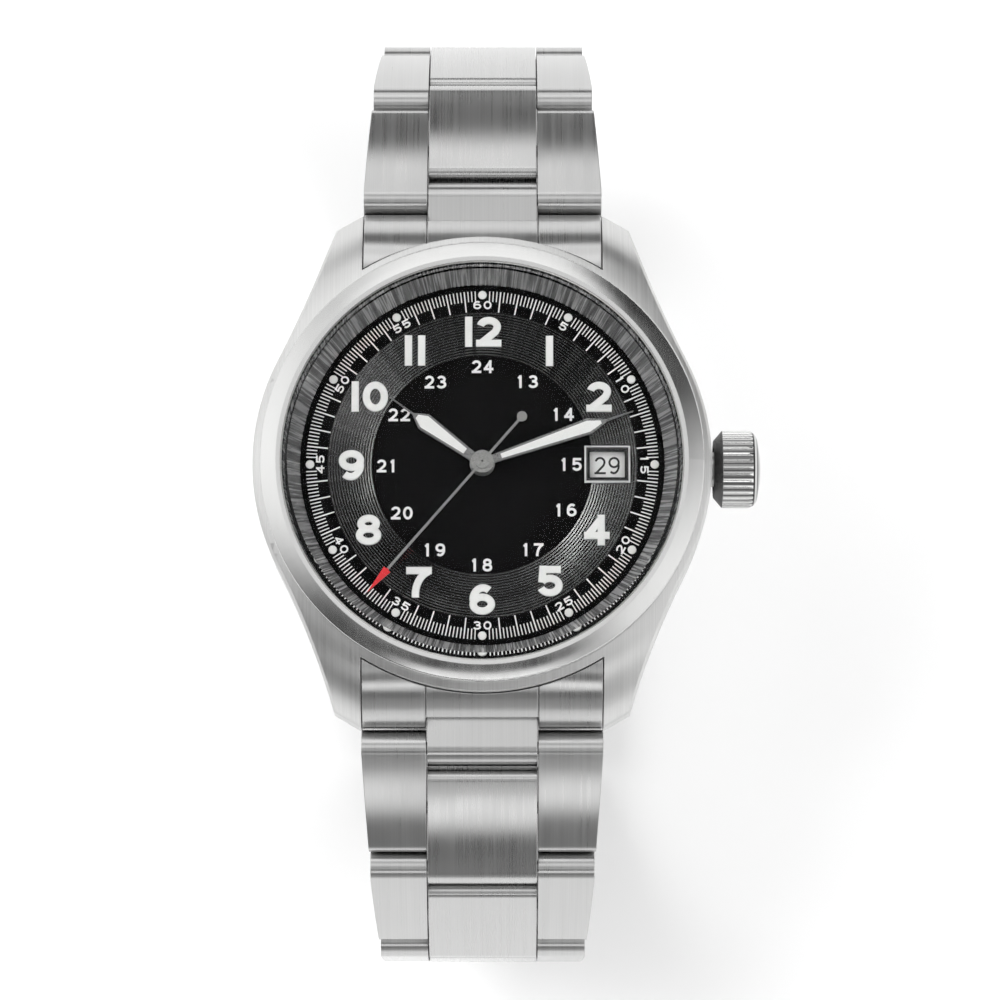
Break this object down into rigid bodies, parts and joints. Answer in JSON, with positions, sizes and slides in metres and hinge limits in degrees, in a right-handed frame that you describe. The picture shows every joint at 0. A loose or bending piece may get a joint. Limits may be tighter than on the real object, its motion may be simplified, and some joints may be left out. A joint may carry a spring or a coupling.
{
  "type": "field watch",
  "caption": "Steel field wristwatch: round case, black numeral dial with date, fluted crown, movement inside and a link bracelet closed by a folding clasp.",
  "frame": {"origin": "centre of the case back's outer flat face, on the hands' axis", "axes": "+Z the way the dial faces, +Y towards 12 o'clock along the bracelet, +X towards 3 o'clock"},
  "size_m": [0.0421, 0.08, 0.0477],
  "materials": {
    "brushed_case": "fine straight brushing, polished break edge",
    "polished_bezel": "polished",
    "crystal": "clear, bevelled edge",
    "gasket": "matt",
    "flange": "turned and polished",
    "dial": "matt black with a ring of fine grooves",
    "date_frame": "polished",
    "case_back": "circular brushing",
    "tube": "turned",
    "movement_ring": "matt moulded",
    "movement_plate": "nickel plated, grained",
    "end_link": "straight brushing along the band",
    "side_link": "straight brushing along the band",
    "center_link": "fine straight brushing along the band",
    "pin_steel": "turned and polished",
    "second_hand": "brushed, tip painted red",
    "hand_steel": "brushed, filled with white luminous paint",
    "gear_brass": "fine cut",
    "hairspring": "blued",
    "rotor": "circular grained",
    "date_disc": "matt white with black numbers",
    "crown": "polished flutes",
    "clasp_blade": "polished",
    "clasp_cover": "straight brushing along the band",
    "clasp_button": "polished",
    "dial_print": "matt white print",
    "lume": "thick matt white luminous paint",
    "date_print": "matt black print",
    "red_paint": "gloss red paint"
  },
  "bodies": {
    "case": {"case_middle": "brushed_case", "bezel": "polished_bezel", "crystal": "crystal", "crystal_gasket": "gasket", "flange_ring": "flange", "dial": "dial", "date_frame": "date_frame", "case_back": "case_back", "case_back_gasket": "gasket", "crown_tube": "tube", "movement_ring": "movement_ring", "main_plate": "movement_plate", "train_bridge": "movement_plate", "balance_cock": "movement_plate", "end_link_12": "end_link", "end_link_6": "end_link", "spring_bars": "pin_steel"},
    "second_hand": {"second_hand": "second_hand", "fourth_wheel": "gear_brass"},
    "minute_hand": {"minute_hand": "hand_steel", "cannon_pinion": "gear_brass"},
    "hour_hand": {"hour_hand": "hand_steel", "hour_wheel": "gear_brass"},
    "third_wheel": {"third_wheel": "gear_brass"},
    "barrel": {"barrel": "gear_brass"},
    "escape_wheel": {"escape_wheel": "pin_steel"},
    "pallet_fork": {"pallet_fork": "pin_steel"},
    "balance": {"balance_wheel": "gear_brass", "hairspring": "hairspring"},
    "rotor": {"rotor": "rotor"},
    "date_ring": {"date_ring": "date_disc"},
    "crown_drive": {"sliding_pinion": "pin_steel"},
    "crown": {"crown": "crown", "winding_stem": "pin_steel", "crown_gasket": "gasket"},
    "row_12_1": {"side_links_12_1": "side_link", "center_link_12_1": "center_link"},
    "row_12_2": {"side_links_12_2": "side_link", "center_link_12_2": "center_link"},
    "row_12_3": {"side_links_12_3": "side_link", "center_link_12_3": "center_link"},
    "row_12_4": {"side_links_12_4": "side_link", "center_link_12_4": "center_link"},
    "row_12_5": {"side_links_12_5": "side_link", "center_link_12_5": "center_link"},
    "row_6_1": {"side_links_6_1": "side_link", "center_link_6_1": "center_link"},
    "row_6_2": {"side_links_6_2": "side_link", "center_link_6_2": "center_link"},
    "row_6_3": {"side_links_6_3": "side_link", "center_link_6_3": "center_link"},
    "row_6_4": {"side_links_6_4": "side_link", "center_link_6_4": "center_link"},
    "row_6_5": {"side_links_6_5": "side_link", "center_link_6_5": "center_link"},
    "clasp_inner": {"clasp_blade_inner": "clasp_blade"},
    "clasp_outer": {"clasp_blade_outer": "clasp_blade"},
    "clasp_cover": {"clasp_cover": "clasp_cover"},
    "button_right": {"clasp_button_right": "clasp_button"},
    "button_left": {"clasp_button_left": "clasp_button"}
  },
  "joints": [
    {"name": "second_turn", "type": "hinge", "parent": "case", "child": "second_hand", "pos_m": [0, 0, 0.004], "axis": [0, 0, -1], "continuous": true},
    {"name": "minute_turn", "type": "hinge", "parent": "case", "child": "minute_hand", "pos_m": [0, 0, 0.004], "axis": [0, 0, -1], "continuous": true},
    {"name": "hour_turn", "type": "hinge", "parent": "case", "child": "hour_hand", "pos_m": [0, 0, 0.004], "axis": [0, 0, -1], "continuous": true},
    {"name": "third_turn", "type": "hinge", "parent": "case", "child": "third_wheel", "pos_m": [-0.00313, -0.00114, 0.004], "axis": [0, 0, -1], "continuous": true},
    {"name": "barrel_turn", "type": "hinge", "parent": "case", "child": "barrel", "pos_m": [-0.00287, 0.00498, 0.004], "axis": [0, 0, -1], "continuous": true},
    {"name": "escape_turn", "type": "hinge", "parent": "case", "child": "escape_wheel", "pos_m": [0.00262, -0.0022, 0.004], "axis": [0, 0, -1], "continuous": true},
    {"name": "pallet_rock", "type": "hinge", "parent": "case", "child": "pallet_fork", "pos_m": [0.0046, -0.00386, 0.004], "axis": [0, 0, -1], "range_deg": [-5, 5]},
    {"name": "balance_swing", "type": "hinge", "parent": "case", "child": "balance", "pos_m": [0.00682, -0.00572, 0.004], "axis": [0, 0, -1], "range_deg": [-270, 270], "stiffness_Nm_per_rad": 0.00000037},
    {"name": "rotor_spin", "type": "hinge", "parent": "case", "child": "rotor", "pos_m": [0, 0, 0.0019], "axis": [0, 0, -1], "continuous": true},
    {"name": "date_turn", "type": "hinge", "parent": "case", "child": "date_ring", "pos_m": [0, 0, 0.0064], "axis": [0, 0, -1], "continuous": true},
    {"name": "crown_turn", "type": "hinge", "parent": "case", "child": "crown_drive", "pos_m": [0.01, 0, 0.0049], "axis": [1, 0, 0], "continuous": true},
    {"name": "crown_pull", "type": "slide", "parent": "crown_drive", "child": "crown", "axis": [1, 0, 0], "range_m": [0, 0.0016]},
    {"name": "row_12_1_fold", "type": "hinge", "parent": "case", "child": "row_12_1", "pos_m": [0, 0.0232, 0.0038], "axis": [1, 0, 0], "range_deg": [0, 30.5]},
    {"name": "row_12_2_fold", "type": "hinge", "parent": "row_12_1", "child": "row_12_2", "pos_m": [0, 0.03268, -0.00072], "axis": [1, 0, 0], "range_deg": [0, 37]},
    {"name": "row_12_3_fold", "type": "hinge", "parent": "row_12_2", "child": "row_12_3", "pos_m": [0, 0.03832, -0.00958], "axis": [1, 0, 0], "range_deg": [0, 39]},
    {"name": "row_12_4_fold", "type": "hinge", "parent": "row_12_3", "child": "row_12_4", "pos_m": [0, 0.03804, -0.02007], "axis": [1, 0, 0], "range_deg": [0, 37.5]},
    {"name": "row_12_5_fold", "type": "hinge", "parent": "row_12_4", "child": "row_12_5", "pos_m": [0, 0.03217, -0.02878], "axis": [1, 0, 0], "range_deg": [0, 33]},
    {"name": "row_6_1_fold", "type": "hinge", "parent": "case", "child": "row_6_1", "pos_m": [0, -0.0232, 0.0038], "axis": [-1, 0, 0], "range_deg": [0, 30.5]},
    {"name": "row_6_2_fold", "type": "hinge", "parent": "row_6_1", "child": "row_6_2", "pos_m": [0, -0.03268, -0.00072], "axis": [-1, 0, 0], "range_deg": [0, 37]},
    {"name": "row_6_3_fold", "type": "hinge", "parent": "row_6_2", "child": "row_6_3", "pos_m": [0, -0.03832, -0.00958], "axis": [-1, 0, 0], "range_deg": [0, 39]},
    {"name": "row_6_4_fold", "type": "hinge", "parent": "row_6_3", "child": "row_6_4", "pos_m": [0, -0.03804, -0.02007], "axis": [-1, 0, 0], "range_deg": [0, 37.5]},
    {"name": "row_6_5_fold", "type": "hinge", "parent": "row_6_4", "child": "row_6_5", "pos_m": [0, -0.03217, -0.02878], "axis": [-1, 0, 0], "range_deg": [0, 33]},
    {"name": "clasp_pivot", "type": "hinge", "parent": "row_12_5", "child": "clasp_inner", "pos_m": [0, 0.0229, -0.03371], "axis": [1, 0, 0], "range_deg": [0, 33]},
    {"name": "clasp_fold", "type": "hinge", "parent": "clasp_inner", "child": "clasp_outer", "pos_m": [0, -0.0165, -0.03431], "axis": [-1, 0, 0], "range_deg": [0, 150]},
    {"name": "cover_fold", "type": "hinge", "parent": "clasp_outer", "child": "clasp_cover", "pos_m": [0, 0.0193, -0.03551], "axis": [1, 0, 0], "range_deg": [0, 150]},
    {"name": "button_right_press", "type": "slide", "parent": "clasp_cover", "child": "button_right", "axis": [-1, 0, 0], "range_m": [0, 0.0006], "stiffness_N_per_m": 500},
    {"name": "button_left_press", "type": "slide", "parent": "clasp_cover", "child": "button_left", "axis": [1, 0, 0], "range_m": [0, 0.0006], "stiffness_N_per_m": 500}
  ],
  "couplings": [
    {"joint": "minute_turn", "follows": "second_turn", "ratio": 0.016667},
    {"joint": "hour_turn", "follows": "second_turn", "ratio": 0.0013889},
    {"joint": "third_turn", "follows": "second_turn", "ratio": -0.13333},
    {"joint": "barrel_turn", "follows": "second_turn", "ratio": -0.002381},
    {"joint": "escape_turn", "follows": "second_turn", "ratio": -12},
    {"joint": "cover_fold", "follows": "clasp_fold", "ratio": 1}
  ]
}
